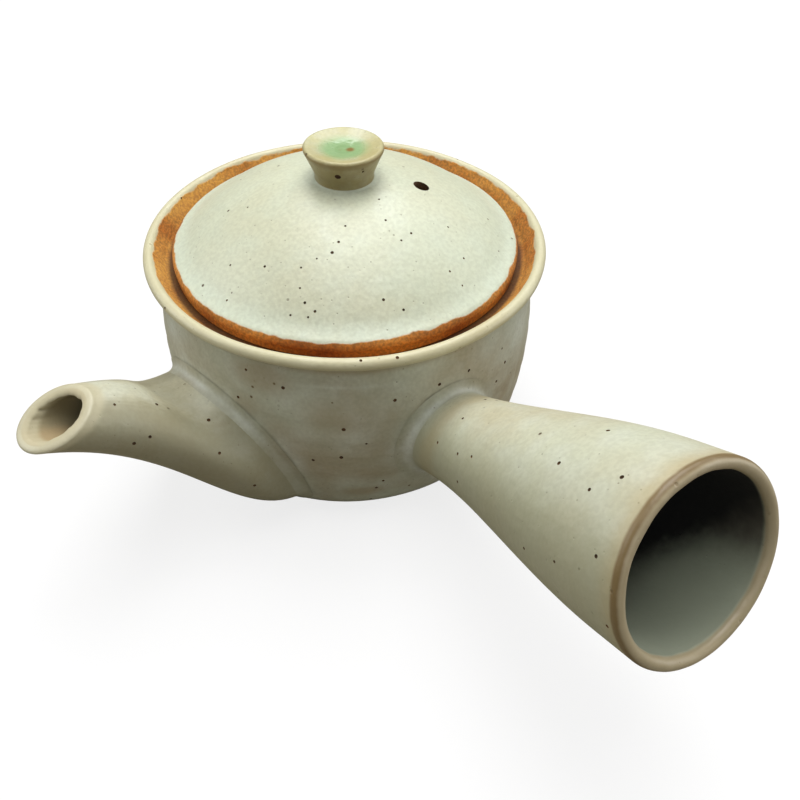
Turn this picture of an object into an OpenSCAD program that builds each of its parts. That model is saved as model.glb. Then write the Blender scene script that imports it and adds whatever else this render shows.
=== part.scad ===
// Kyusu, a side-handled teapot of glazed stoneware with a lift-off lid.
// The origin is the centre of the flat base, +Z is up and the handle points along -Y.

/* [Pot body] */
// Widest outside diameter of the wall
belly_d = 97; // [94:1:104]
// Height of the widest place
belly_z = 30; // [26:1:34]
// Radius of the wall's upright curve
wall_arc = 100; // [80:5:140]
// Thickness of the thrown wall
wall = 4; // [3:0.5:5]
// Thickness of the floor
floor_t = 5; // [4:0.5:7]
// Rounding between the flat base and the wall
base_corner = 10; // [7:0.5:12]
// Rounding inside, between the floor and the wall
inner_corner = 6; // [4:0.5:8]
// Height from the table to the top of the rim
pot_h = 56.4; // [54:0.2:62]

/* [Rim and lid seat] */
// How far the rolled rim stands out from the wall
lip_reach = 4.2; // [3.4:0.2:5]
// Height of the rolled rim
lip_t = 2.8; // [2:0.2:3.6]
// Depth below the rim at which the wall starts to turn out into it
lip_drop = 5.9; // [5:0.1:8]
// Depth of the lid seat below the rim
seat_drop = 4.9; // [4:0.1:6]
// Width of the sloping bare clay above the seat
slope_w = 2.6; // [2:0.2:3.4]
// Width of the flat ledge that carries the lid
seat_w = 5.1; // [4.4:0.1:6]
// Height of the straight throat below the ledge
throat_h = 3; // [2:0.5:4]

/* [Lid] */
// Gap all round between the lid's edge and the sloping clay
lid_clear = 1.4; // [0.8:0.1:2]
// Height of the lid's bare edge
lid_edge_h = 4.8; // [3:0.1:6]
// Rounding of the lid's rolled edge
lid_edge_round = 2.2; // [0.8:0.1:2.6]
// Turn of the rolled edge, from upright, where the brim begins
lid_edge_turn = 66; // [45:1:80]
// Rise of the dome from the edge to the crown
lid_rise = 15.1; // [12:0.1:20]
// Width of the narrow brim round the dome's foot
brim_w = 5.1; // [3:0.1:8]
// Rise of the brim from the lid's edge to the dome's foot
brim_rise = 2.2; // [1:0.1:3]
// Thickness of the dome
lid_t = 4; // [3:0.5:5]
// Gap all round between the locating flange and the throat
flange_clear = 0.7; // [0.4:0.1:1.2]
// Thickness of the locating flange
flange_t = 2.8; // [2.2:0.2:3.4]
// Depth of the locating flange below the seat
flange_h = 7.5; // [5:0.5:9]
// Diameter of the steam vent
vent_d = 3.8; // [2.5:0.1:5]
// Distance of the vent from the lid's centre
vent_r = 18.5; // [16:0.1:26]
// Direction of the vent round the lid
vent_az = -31.5; // [-180:0.5:180]

/* [Knob] */
// Flat shelf of the crown round the knob's foot
knob_shelf = 1.6; // [1:0.1:2.4]
// Diameter of the knob where it stands on the lid
knob_foot_d = 14.6; // [11:0.2:17]
// Diameter of the knob's top
knob_d = 19.2; // [18:0.2:24]
// Height of the knob above the crown
knob_h = 8.3; // [6:0.1:11]
// Height of the knob's waist above the crown
knob_waist_h = 1.6; // [1:0.1:2.4]
// How far the waist draws in from the foot
knob_waist_in = 0.3; // [0:0.1:0.8]
// Depth of the dish in the knob's top
knob_dish = 1.3; // [1:0.1:2.6]
// Rounding of the knob's upper edge
knob_edge = 0.8; // [0.5:0.1:1.6]

/* [Spout] */
// Turn from the handle round to the spout
spout_turn = 75.3; // [68:0.1:95]
// Reach of the mouth's centre from the wall
mouth_reach = 32.1; // [28:0.1:38]
// Height of the mouth's centre
mouth_z = 45.9; // [42:0.1:50]
// How far the mouth is set sideways, away from the handle
mouth_set = 4.3; // [0:0.1:6]
// Length of the mouth, from its upper to its lower lip
mouth_l = 18; // [16.5:0.1:21]
// Width of the mouth
mouth_w = 15.4; // [14:0.1:19]
// How far the mouth leans back from upright
mouth_lean = 72.5; // [60:0.5:78]
// Thickness of the spout's clay at the mouth
spout_wall = 2.8; // [2:0.1:3.2]
// Reach of the guide ring that draws the tube out from the skirt
throat_reach = 8.1; // [6:0.1:12]
// Height of that guide ring
throat_guide_z = 33.1; // [31:0.1:36]
// How far that guide ring is set sideways, away from the handle
throat_set = 3.7; // [0:0.1:5]
// Width of that guide ring
throat_w = 21.1; // [19:0.1:24]
// Height across that guide ring
throat_l = 14.7; // [13:0.1:18]
// How far that guide ring leans back from upright
throat_lean = 30; // [20:1:36]
// Reach of the guide ring that fills out the skirt
skirt_reach = 11; // [9:0.1:13]
// Height of the skirt's guide ring
skirt_z = 22; // [20:0.1:24]
// Width of the skirt's guide ring
skirt_w = 51.5; // [44:0.1:54]
// Upper half height of the skirt's guide ring
skirt_up_h = 12.4; // [10:0.1:15]
// Lower half height of the skirt's guide ring
skirt_down_h = 21.3; // [17:0.1:21.5]
// How far the skirt's guide ring leans forward from upright
skirt_lean = 13; // [4:1:16]
// Width of the luted root, measured round the wall
root_w = 48.5; // [44:0.1:54]
// Height of the top of the luted root
root_top_z = 37.1; // [36:0.1:40]
// Height at which the luted root is widest
root_mid_z = 9.1; // [7:0.1:12]
// Height of the bottom of the luted root
root_low_z = 2.1; // [1.6:0.1:3]

/* [Handle] */
// Upward tilt of the handle
handle_tilt = 23.9; // [18:0.1:28]
// Height at which the handle's axis meets the pot's axis
handle_aim_z = 5.5; // [3:0.5:9]
// Length of the handle along its axis, from the wall to the open end
handle_l = 75.2; // [60:0.1:90]
// Outside diameter at the open end
handle_end_d = 38; // [34:0.5:42]
// Outside diameter at the root
handle_root_d = 22; // [20:0.5:26]
// Thickness of the handle's clay
handle_wall = 2.4; // [2:0.1:3.6]
// Share of the handle's length over which it swells
swell_end = 0.87; // [0.6:0.01:1]
// Share of the handle's whole widening that the swell takes
swell_share = 0.85; // [0.6:0.05:1]

/* [Strainer] */
// Diameter of the port through the wall behind the spout
port_d = 24; // [20:0.5:25]
// Height of the port's centre
port_z = 21; // [19.5:0.1:22]
// How far the strainer's dome laps past the port's edge
strainer_lap = 4; // [3.2:0.1:5]
// How far the centre of the strainer's dome lies behind the inside of the wall
strainer_sink = 2; // [0:0.1:4]
// Thickness of the strainer
strainer_t = 2; // [1.6:0.1:2.4]
// Diameter of each strainer hole
hole_d = 2.2; // [1.6:0.1:2.6]
// Rings of holes round the middle hole
hole_rings = 3; // [2:1:3]
// Angle between two rings of holes
hole_pitch = 18; // [16:1:20]

/* [Joins] */
// Layer of slip between two luted pieces
slip_gap = 0.15; // [0.1:0.05:0.3]
// Reach of each smoothed luting coil along both of its faces
coil_w = 2.4; // [1.6:0.2:3]

/* [Hidden] */
$fn = 96;

// Facets of the lofted pieces: points round a ring, rings along the spout and rings across its root
ring_points = 48;
loft_steps = 18;
root_steps = 5;
coil_steps = 4;
// Points along each curved stretch of an outline, and halvings of a search
arc_steps = 10;
halvings = 20;

// Wall: one upright arc that runs into a rounded corner at the base
wall_cx = belly_d / 2 - wall_arc;
corner_x = wall_cx + sqrt(pow(wall_arc - base_corner, 2) - pow(belly_z - base_corner, 2));
corner_turn = atan2(base_corner - belly_z, corner_x - wall_cx);
corner_z = belly_z + wall_arc * sin(corner_turn);

// Inside of the wall and floor
inner_arc = wall_arc - wall;
inner_corner_z = floor_t + inner_corner;
inner_corner_x = wall_cx + sqrt(pow(inner_arc - inner_corner, 2) - pow(belly_z - inner_corner_z, 2));
inner_corner_turn = atan2(inner_corner_z - belly_z, inner_corner_x - wall_cx);

// Rim and seat, from the outside in
lip_r = lip_t / 2;
lip_root_z = pot_h - lip_drop;
lip_from = -60;
lip_to = 165;
rim_r = wall_r(pot_h - lip_t, 0) + lip_reach;
lip_cx = rim_r - lip_r;
lip_cz = pot_h - lip_r;
seat_z = pot_h - seat_drop;
gallery_r = rim_r - lip_t - slope_w;
throat_r = gallery_r - seat_w;
throat_z = seat_z - throat_h;
shoulder_z = throat_z - (inner_wall_r(throat_z) - throat_r);

// Lid and knob
lid_r = gallery_r - lid_clear;
lid_edge_z = seat_z + lid_edge_h;
crown_z = lid_edge_z + lid_rise;
crown_flat_r = knob_foot_d / 2 + knob_shelf;
flange_out = throat_r - flange_clear;
flange_in = flange_out - flange_t;
knob_top_z = crown_z + knob_h;

// Dome: one round arc from the knob's shelf down to the brim, and one under it
dome_foot_r = lid_r - brim_w;
dome_foot_z = lid_edge_z + brim_rise;
dome_h = crown_z - dome_foot_z;
dome_drop = (pow(dome_foot_r, 2) - pow(crown_flat_r, 2) - pow(dome_h, 2)) / (2 * dome_h);
dome_cz = dome_foot_z - dome_drop;
dome_arc = norm([dome_foot_r, dome_drop]);
vault_arc = dome_arc - lid_t;
// End of the rolled edge, and guides of the brim's curve beside it and beside the dome's foot
edge_end = [
    lid_r - lid_edge_round * (1 - cos(lid_edge_turn)),
    lid_edge_z - lid_edge_round * (1 - sin(lid_edge_turn))
];
edge_guide = edge_end + 0.3 * brim_w * [-1, tan(90 - lid_edge_turn)];
foot_guide = [dome_foot_r + 0.24 * brim_w, dome_foot_z - 0.24 * brim_w * dome_foot_r / dome_drop];

// Handle
handle_turn = -90;
handle_start = belly_d / 2 / cos(handle_tilt);
handle_end = handle_start + handle_l;
handle_axis = [0, -cos(handle_tilt), sin(handle_tilt)];
handle_up = [0, sin(handle_tilt), cos(handle_tilt)];
handle_across = [1, 0, 0];

// Spout
spout_az = handle_turn - spout_turn;
spout_out = [cos(spout_az), sin(spout_az), 0];
spout_side = [-sin(spout_az), cos(spout_az), 0];
port_margin = 0.5;
inner_root_w = port_d + 2 * port_margin;
inner_root_top_z = port_z + inner_root_w / 2;
inner_root_low_z = port_z - inner_root_w / 2;
mouth_r = belly_d / 2 + mouth_reach;
throat_guide_r = belly_d / 2 + throat_reach;
skirt_r = belly_d / 2 + skirt_reach;

// Strainer
strainer_r = port_d / 2 + strainer_lap;
strainer_cx = inner_wall_r(port_z) + strainer_sink;

// Points along an arc, in the order of its angles
function arc(cx, cy, r, from, to) = [
    for (i = [0 : arc_steps])
        let (a = from + (to - from) * i / arc_steps)
        [cx + r * cos(a), cy + r * sin(a)]
];

// A list without its first point, where that point closes the stretch before it
function after_first(list) = [for (i = [1 : len(list) - 1]) list[i]];

// A point on a curve that leaves a towards b and reaches d from c
function bend(a, b, c, d, t) =
    pow(1 - t, 3) * a + 3 * pow(1 - t, 2) * t * b + 3 * (1 - t) * t * t * c + pow(t, 3) * d;

function bend_points(a, b, c, d) = [for (i = [0 : arc_steps]) bend(a, b, c, d, i / arc_steps)];

function smooth(x) = x <= 0 ? 0 : x >= 1 ? 1 : x * x * (3 - 2 * x);

// Outside radius of the wall at height z, moved out by grow
function wall_r(z, grow) =
    z < corner_z
        ? corner_x + sqrt(pow(base_corner + grow, 2) - pow(z - base_corner, 2))
        : wall_cx + sqrt(pow(wall_arc + grow, 2) - pow(z - belly_z, 2));

function inner_wall_r(z) = wall_r(z, -wall);

// The wall's outline from the axis up to height z, moved out by grow
function wall_outline(top_z, grow) = concat(
    arc(corner_x, base_corner, base_corner + grow, -90, corner_turn),
    arc(wall_cx, belly_z, wall_arc + grow, corner_turn, asin((top_z - belly_z) / (wall_arc + grow)))
);

// The inside of the pot from the shoulder down to the axis at the floor, moved in by gap
function inside_outline(gap) = let (
    reach = inner_arc - gap
) concat(
    arc(wall_cx, belly_z, reach, asin((shoulder_z - belly_z) / reach), inner_corner_turn),
    arc(inner_corner_x, inner_corner_z, inner_corner - gap, inner_corner_turn, -90),
    [[0, floor_t + gap]]
);

// Outline of the whole pot body, from the axis under the floor round to the axis above it
function body_outline() = let (
    lip_root = [wall_r(lip_root_z, 0), lip_root_z],
    lip_under = [lip_cx + lip_r * cos(lip_from), lip_cz + lip_r * sin(lip_from)],
    lip_turn = [lip_root[0], lip_under[1]]
) concat(
    [[0, 0]],
    wall_outline(lip_root_z, 0),
    bend_points(lip_root, lip_turn, lip_turn, lip_under),
    arc(lip_cx, lip_cz, lip_r, lip_from, lip_to),
    [[gallery_r, seat_z], [throat_r, seat_z], [throat_r, throat_z]],
    inside_outline(0)
);

// The wall's outside as a solid, moved out by grow
module wall_envelope(grow) {
    rotate_extrude() polygon(concat([[0, -grow]], wall_outline(pot_h - lip_t, grow), [[0, pot_h - lip_t]]));
}

module toward_spout() {
    rotate([0, 0, spout_az]) children();
}

// Pot body with its rim, lid seat and spout port
module pot_body() {
    color("#a39d89") difference() {
        rotate_extrude() polygon(body_outline());
        toward_spout()
            translate([throat_r / 2, 0, port_z])
            rotate([0, 90, 0]) cylinder(d = port_d, h = rim_r);
    }
}

// A ring of points that lies on the wall, round the direction of the spout
function ring_on_wall(turn, w, top, mid, low) = let (
    z = mid + sin(turn) * (sin(turn) > 0 ? top - mid : mid - low),
    r = wall_r(z, slip_gap),
    swing = w / 2 * cos(turn) / r * 180 / PI
) r * cos(swing) * spout_out + r * sin(swing) * spout_side + [0, 0, z];

// A point of an oval ring across the spout, set sideways and leaning back from upright
function oval(turn, r, z, set, w, up, down, lean) = let (
    rise = sin(turn) * (sin(turn) > 0 ? up : down)
) (r - rise * sin(lean)) * spout_out + (w / 2 * cos(turn) - set) * spout_side + [0, 0, z + rise * cos(lean)];

// The spout's outer skin: turn goes round it, t runs from the wall to the mouth
function spout_skin(turn, t, grow) = bend(
    ring_on_wall(turn, root_w + 2 * grow, root_top_z + grow, root_mid_z, root_low_z - grow),
    oval(turn, skirt_r, skirt_z, 0, skirt_w + 2 * grow, skirt_up_h + grow, skirt_down_h + grow, -skirt_lean),
    oval(
        turn, throat_guide_r, throat_guide_z, throat_set,
        throat_w + 2 * grow, throat_l / 2 + grow, throat_l / 2 + grow, throat_lean
    ),
    oval(
        turn, mouth_r, mouth_z, mouth_set,
        mouth_w + 2 * grow, mouth_l / 2 + grow, mouth_l / 2 + grow, mouth_lean
    ),
    t
);

// The passage inside the spout, from the wall to the mouth
function spout_passage(turn, t) = let (
    skirt_half = inner_root_w / 2 - spout_wall,
    throat_half = throat_l / 2 - spout_wall,
    mouth_half = mouth_l / 2 - spout_wall
) bend(
    ring_on_wall(turn, inner_root_w, inner_root_top_z, port_z, inner_root_low_z),
    oval(turn, skirt_r, skirt_z, 0, inner_root_w, skirt_half, skirt_half, -skirt_lean),
    oval(
        turn, throat_guide_r, throat_guide_z, throat_set,
        throat_w - 2 * spout_wall, throat_half, throat_half, throat_lean
    ),
    oval(turn, mouth_r, mouth_z, mouth_set, mouth_w - 2 * spout_wall, mouth_half, mouth_half, mouth_lean),
    t
);

// The rounded lip between the outer skin and the passage
function spout_lip(turn) = let (
    half = (mouth_l - spout_wall) / 2,
    rise = spout_wall / 4
) oval(
    turn, mouth_r + rise * cos(mouth_lean), mouth_z + rise * sin(mouth_lean), mouth_set,
    mouth_w - spout_wall, half, half, mouth_lean
);

// The face that is luted to the wall, from the passage out to the edge of the flare
function spout_foot(turn, t) = ring_on_wall(
    turn,
    inner_root_w + (root_w - inner_root_w) * t,
    inner_root_top_z + (root_top_z - inner_root_top_z) * t,
    port_z + (root_mid_z - port_z) * t,
    inner_root_low_z + (root_low_z - inner_root_low_z) * t
);

// A closed ring-shaped solid through rings that each have ring_points points
module ring_solid(rings) {
    count = len(rings);
    faces = [
        for (i = [0 : count - 1], j = [0 : ring_points - 1])
            let (
                next_i = (i + 1) % count,
                next_j = (j + 1) % ring_points,
                a = i * ring_points + j,
                b = i * ring_points + next_j,
                c = next_i * ring_points + next_j,
                d = next_i * ring_points + j
            )
            each [[a, c, b], [a, d, c]]
    ];
    polyhedron(points = [for (ring = rings) each ring], faces = faces);
}

// The turns of the points round one ring
function turns() = [for (j = [0 : ring_points - 1]) 360 * j / ring_points];

module spout() {
    outer = [for (i = [0 : loft_steps]) [for (turn = turns()) spout_skin(turn, i / loft_steps, 0)]];
    lip = [[for (turn = turns()) spout_lip(turn)]];
    inner = [for (i = [0 : loft_steps]) [for (turn = turns()) spout_passage(turn, 1 - i / loft_steps)]];
    foot = [for (i = [1 : root_steps - 1]) [for (turn = turns()) spout_foot(turn, i / root_steps)]];
    color("#a59b88") ring_solid(concat(outer, lip, inner, foot));
}

// A point of a coil's smoothed face, hollowed from its two ends towards its corner
function coil_face(wall_end, corner, skin_end, t) = let (
    pull = (wall_end + skin_end) / 4 + corner / 2
) pow(1 - t, 2) * wall_end + 2 * t * (1 - t) * pull + t * t * skin_end;

// Soft coil smoothed into the crease between the spout's skirt and the wall, kept short above the table
function spout_coil_wall(turn, t) = let (
    grow = slip_gap + coil_w * t
) ring_on_wall(
    turn, root_w + 2 * grow, root_top_z + grow, root_mid_z, root_low_z - slip_gap - coil_w * t / 3
);

// The skin leaves the wall at three times the rate of its first guide ring
function spout_coil_skin(turn, t) = spout_skin(turn, t * coil_w / (3 * skirt_reach), slip_gap);

module spout_luting_coil() {
    skin = [for (i = [coil_steps : -1 : 0]) [for (turn = turns()) spout_coil_skin(turn, i / coil_steps)]];
    on_wall = [for (i = [1 : coil_steps]) [for (turn = turns()) spout_coil_wall(turn, i / coil_steps)]];
    face = [
        for (i = [1 : coil_steps - 1])
            [for (turn = turns()) coil_face(
                spout_coil_wall(turn, 1), spout_coil_wall(turn, 0),
                spout_coil_skin(turn, 1), i / coil_steps
            )]
    ];
    color("#b9bfb8") ring_solid(concat(skin, on_wall, face));
}

// Outside radius of the handle at distance t along its axis
function handle_r(t) = let (
    x = max(0, (t - handle_start) / handle_l),
    swell = swell_share * smooth(x / swell_end) + (1 - swell_share) * x
) handle_root_d / 2 + (handle_end_d - handle_root_d) / 2 * swell;

// Outline of the handle's shell, out along the skin, round the open end and back inside
function handle_outline() = let (
    first = handle_start - handle_root_d,
    last = handle_end - handle_wall / 2,
    steps = 2 * arc_steps,
    along = [for (i = [0 : steps]) first + (last - first) * i / steps]
) concat(
    [for (i = [0 : steps - 1]) [handle_r(along[i]), along[i]]],
    arc(handle_r(last) - handle_wall / 2, last, handle_wall / 2, 0, 180),
    [for (i = [steps - 1 : -1 : 0]) [handle_r(along[i]) - handle_wall, along[i]]]
);

module along_handle() {
    translate([0, 0, handle_aim_z]) rotate([90 - handle_tilt, 0, 0]) children();
}

// Hollow side handle, cut to the curve of the wall
module handle() {
    color("#b5a98c") difference() {
        along_handle() rotate_extrude() polygon(handle_outline());
        wall_envelope(slip_gap);
    }
}

// A point at distance t along the handle's axis, r away from it
function off_handle(t, r, turn) =
    [0, 0, handle_aim_z] + t * handle_axis + r * (cos(turn) * handle_across + sin(turn) * handle_up);

// Distance along the axis at which the line r away from it leaves the wall, found by halving
function wall_crossing(r, turn, near, far, left) = let (
    t = (near + far) / 2,
    p = off_handle(t, r, turn),
    outside = norm([p[0], p[1]]) > wall_r(p[2], slip_gap)
) left == 0 ? t : wall_crossing(r, turn, outside ? near : t, outside ? t : far, left - 1);

function wall_distance(r, turn) =
    wall_crossing(r, turn, handle_start - handle_root_d, handle_start + handle_root_d, halvings);

// Soft coil smoothed into the crease between the handle's root and the wall
function handle_coil_wall(turn, t) = let (
    r = handle_root_d / 2 + slip_gap + coil_w * t
) off_handle(wall_distance(r, turn), r, turn);

function handle_coil_skin(turn, t) = let (
    along = wall_distance(handle_root_d / 2 + slip_gap, turn) + coil_w * t
) off_handle(along, handle_r(along) + slip_gap, turn);

module handle_luting_coil() {
    skin = [for (i = [coil_steps : -1 : 0]) [for (turn = turns()) handle_coil_skin(turn, i / coil_steps)]];
    on_wall = [for (i = [1 : coil_steps]) [for (turn = turns()) handle_coil_wall(turn, i / coil_steps)]];
    face = [
        for (i = [1 : coil_steps - 1])
            [for (turn = turns()) coil_face(
                handle_coil_wall(turn, 1), handle_coil_wall(turn, 0),
                handle_coil_skin(turn, 1), i / coil_steps
            )]
    ];
    color("#bcc2ba") ring_solid(concat(skin, on_wall, face));
}

// Holes in one ring of the strainer, round its middle hole
function holes_in(ring) = ring == 0 ? 1 : 6 * ring;

// Domed strainer of pierced clay, luted over the port inside the pot
module strainer() {
    color("#9a6a48") intersection() {
        toward_spout() translate([strainer_cx, 0, port_z]) difference() {
            sphere(r = strainer_r);
            sphere(r = strainer_r - strainer_t);
            for (ring = [0 : hole_rings], i = [1 : holes_in(ring)])
                rotate([360 * i / holes_in(ring), 0, 0])
                    rotate([0, -90 + ring * hole_pitch, 0])
                    translate([0, 0, strainer_r - 2 * strainer_t]) cylinder(d = hole_d, h = 3 * strainer_t);
        }
        rotate_extrude() polygon(concat([[0, shoulder_z]], inside_outline(slip_gap)));
    }
}

// Outline of the lid: under the dome, down and round the flange, out along the seat and over the dome
function lid_outline() = concat(
    arc(0, dome_cz, vault_arc, 90, acos(flange_in / vault_arc)),
    [[flange_in, seat_z - flange_h], [flange_out, seat_z - flange_h], [flange_out, seat_z]],
    [[lid_r, seat_z]],
    arc(lid_r - lid_edge_round, lid_edge_z - lid_edge_round, lid_edge_round, 0, lid_edge_turn),
    after_first(bend_points(edge_end, edge_guide, foot_guide, [dome_foot_r, dome_foot_z])),
    after_first(arc(0, dome_cz, dome_arc, acos(dome_foot_r / dome_arc), acos(crown_flat_r / dome_arc))),
    [[0, crown_z]]
);

module lid() {
    vent_z = seat_z - flange_h;
    color("#a8a594") difference() {
        rotate_extrude() polygon(lid_outline());
        rotate([0, 0, vent_az]) translate([vent_r, 0, vent_z]) cylinder(d = vent_d, h = knob_top_z - vent_z);
    }
}

// Outline of the knob: its flat foot, its flaring side, its rounded edge and its dish
function knob_outline() = let (
    edge_x = knob_d / 2 - knob_edge,
    edge_z = knob_top_z - knob_edge,
    dish_r = (pow(edge_x, 2) + pow(knob_dish, 2)) / (2 * knob_dish),
    dish_half = asin(edge_x / dish_r),
    flare_turn = atan2(knob_d / 2 - knob_foot_d / 2, knob_h)
) concat(
    [[0, crown_z], [knob_foot_d / 2, crown_z], [knob_foot_d / 2 - knob_waist_in, crown_z + knob_waist_h]],
    arc(edge_x, edge_z, knob_edge, -flare_turn, 90),
    after_first(arc(0, knob_top_z - knob_dish + dish_r, dish_r, -90 + dish_half, -90))
);

module lid_knob() {
    color("#b3a58a") rotate_extrude() polygon(knob_outline());
}

pot_body();
spout();
spout_luting_coil();
handle();
handle_luting_coil();
strainer();
lid();
lid_knob();
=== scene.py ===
import bisect
from math import acos, asin, atan2, cos, degrees, exp, hypot, pi, radians, sin, sqrt, tan, tau

import bmesh
import bpy
from mathutils import Euler, Matrix, Vector, kdtree, noise


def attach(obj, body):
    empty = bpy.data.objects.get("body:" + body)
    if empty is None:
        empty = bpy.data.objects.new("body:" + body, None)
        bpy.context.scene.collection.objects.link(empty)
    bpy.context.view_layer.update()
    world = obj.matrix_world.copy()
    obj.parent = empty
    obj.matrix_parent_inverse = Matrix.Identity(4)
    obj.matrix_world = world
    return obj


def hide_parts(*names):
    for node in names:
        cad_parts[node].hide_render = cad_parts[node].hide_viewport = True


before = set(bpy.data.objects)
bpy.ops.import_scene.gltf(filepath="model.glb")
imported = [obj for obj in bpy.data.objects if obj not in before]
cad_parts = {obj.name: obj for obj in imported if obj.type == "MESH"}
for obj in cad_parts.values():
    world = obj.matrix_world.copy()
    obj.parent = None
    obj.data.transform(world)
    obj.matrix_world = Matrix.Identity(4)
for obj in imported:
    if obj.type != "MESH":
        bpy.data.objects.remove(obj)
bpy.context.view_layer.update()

# Sizes are in millimetres, as in the part's source, and points are placed in metres
MM = 0.001
UP = Vector((0, 0, 1))

# Pot body
BELLY_R = 48.5
BELLY_Z = 30
WALL_ARC = 100
WALL = 4
FLOOR_T = 5
BASE_CORNER = 10
INNER_CORNER = 6
POT_H = 56.4
SLIP = 0.15

# Rim and lid seat
LIP_REACH = 4.2
LIP_R = 1.4
LIP_DROP = 5.9
LIP_FROM = -60
LIP_TO = 165
SEAT_DROP = 4.9
SLOPE_W = 2.6
SEAT_W = 5.1
THROAT_H = 3

# Lid and knob
LID_CLEAR = 1.4
LID_EDGE_H = 4.8
LID_EDGE_ROUND = 2.2
LID_EDGE_TURN = 66
LID_RISE = 15.1
BRIM_W = 5.1
BRIM_RISE = 2.2
LID_T = 4
FLANGE_CLEAR = 0.7
FLANGE_T = 2.8
FLANGE_H = 7.5
VENT_R = 1.9
VENT_REACH = 18.5
VENT_AZ = -31.5
KNOB_FOOT_R = 7.3
KNOB_R = 9.6
KNOB_H = 8.3
KNOB_SHELF = 1.6
KNOB_WAIST_H = 1.6
KNOB_WAIST_IN = 0.3
KNOB_DISH = 1.3
KNOB_EDGE = 0.8

# Spout
SPOUT_AZ = radians(-165.3)
SPOUT_OUT = Vector((cos(SPOUT_AZ), sin(SPOUT_AZ), 0))
SPOUT_SIDE = Vector((-sin(SPOUT_AZ), cos(SPOUT_AZ), 0))
SPOUT_WALL = 2.8
ROOT = {"w": 48.5, "top": 37.1, "mid": 9.1, "low": 2.1}
SKIRT = {"r": 59.5, "z": 22, "aside": 0, "w": 51.5, "up": 12.4, "down": 21.3, "lean": -13}
THROAT = {"r": 56.6, "z": 33.1, "aside": 3.7, "w": 21.1, "up": 7.35, "down": 7.35, "lean": 30}
MOUTH = {"r": 80.6, "z": 45.9, "aside": 4.3, "w": 15.4, "up": 9, "down": 9, "lean": 72.5}
PORT_R = 12
PORT_Z = 21
PORT_MARGIN = 0.5

# Handle
HANDLE_TILT = radians(23.9)
HANDLE_AIM_Z = 5.5
HANDLE_L = 75.2
HANDLE_END_R = 19
HANDLE_ROOT_R = 11
HANDLE_WALL = 2.4
SWELL_END = 0.87
SWELL_SHARE = 0.85
HANDLE_OUT = Vector((0, -cos(HANDLE_TILT), sin(HANDLE_TILT)))
HANDLE_UP = Vector((0, sin(HANDLE_TILT), cos(HANDLE_TILT)))
HANDLE_ACROSS = Vector((1, 0, 0))
HANDLE_START = BELLY_R / cos(HANDLE_TILT)
HANDLE_END = HANDLE_START + HANDLE_L

# Wall: one upright arc that runs into a rounded corner at the base
WALL_CX = BELLY_R - WALL_ARC
CORNER_X = WALL_CX + sqrt((WALL_ARC - BASE_CORNER) ** 2 - (BELLY_Z - BASE_CORNER) ** 2)
CORNER_TURN = atan2(BASE_CORNER - BELLY_Z, CORNER_X - WALL_CX)
CORNER_Z = BELLY_Z + WALL_ARC * sin(CORNER_TURN)


def wall_r(z, grow=0.0):
    """Outside radius of the pot's wall at a height, moved out by grow"""
    if z < CORNER_Z:
        return CORNER_X + sqrt(max(0, (BASE_CORNER + grow) ** 2 - (z - BASE_CORNER) ** 2))
    return WALL_CX + sqrt((WALL_ARC + grow) ** 2 - (z - BELLY_Z) ** 2)


# Rim, seat and throat
RIM_R = wall_r(POT_H - 2 * LIP_R) + LIP_REACH
LIP_CX = RIM_R - LIP_R
LIP_CZ = POT_H - LIP_R
LIP_ROOT_Z = POT_H - LIP_DROP
SEAT_Z = POT_H - SEAT_DROP
GALLERY_R = RIM_R - 2 * LIP_R - SLOPE_W
THROAT_R = GALLERY_R - SEAT_W
THROAT_Z = SEAT_Z - THROAT_H
SHOULDER_Z = THROAT_Z - (wall_r(THROAT_Z, -WALL) - THROAT_R)
INNER_ARC = WALL_ARC - WALL
INNER_CORNER_Z = FLOOR_T + INNER_CORNER
INNER_CORNER_X = WALL_CX + sqrt((INNER_ARC - INNER_CORNER) ** 2 - (BELLY_Z - INNER_CORNER_Z) ** 2)
INNER_TURN = atan2(INNER_CORNER_Z - BELLY_Z, INNER_CORNER_X - WALL_CX)

# Lid heights and radii
LID_R = GALLERY_R - LID_CLEAR
LID_EDGE_Z = SEAT_Z + LID_EDGE_H
CROWN_Z = LID_EDGE_Z + LID_RISE
CROWN_FLAT_R = KNOB_FOOT_R + KNOB_SHELF
FLANGE_OUT = THROAT_R - FLANGE_CLEAR
FLANGE_IN = FLANGE_OUT - FLANGE_T
KNOB_TOP_Z = CROWN_Z + KNOB_H

# Dome: one round arc from the knob's shelf down to a narrow brim
DOME_FOOT_R = LID_R - BRIM_W
DOME_FOOT_Z = LID_EDGE_Z + BRIM_RISE
DOME_H = CROWN_Z - DOME_FOOT_Z
DOME_DROP = (DOME_FOOT_R ** 2 - CROWN_FLAT_R ** 2 - DOME_H ** 2) / (2 * DOME_H)
DOME_CZ = DOME_FOOT_Z - DOME_DROP
DOME_ARC = hypot(DOME_FOOT_R, DOME_DROP)


def smooth(x):
    """A soft step that climbs from 0 to 1"""
    x = min(max(x, 0.0), 1.0)
    return x * x * (3 - 2 * x)


def bend(a, b, c, d, t):
    """A point on a curve that leaves a towards b and reaches d from c"""
    return a * (1 - t) ** 3 + b * (3 * (1 - t) ** 2 * t) + c * (3 * (1 - t) * t * t) + d * t ** 3


def bend_points(a, b, c, d, steps):
    return [bend(Vector(a), Vector(b), Vector(c), Vector(d), i / steps) for i in range(steps + 1)]


def arc(cx, cz, r, start, end, steps):
    """Points along an arc of an outline, by its angles in degrees"""
    angles = [radians(start + (end - start) * i / steps) for i in range(steps + 1)]
    return [Vector((cx + r * cos(a), cz + r * sin(a))) for a in angles]


def straight(a, b, steps):
    return [Vector(a).lerp(Vector(b), i / steps) for i in range(steps + 1)]


SAME_POINT = 0.02
SAME_VERT = 0.005


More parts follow.
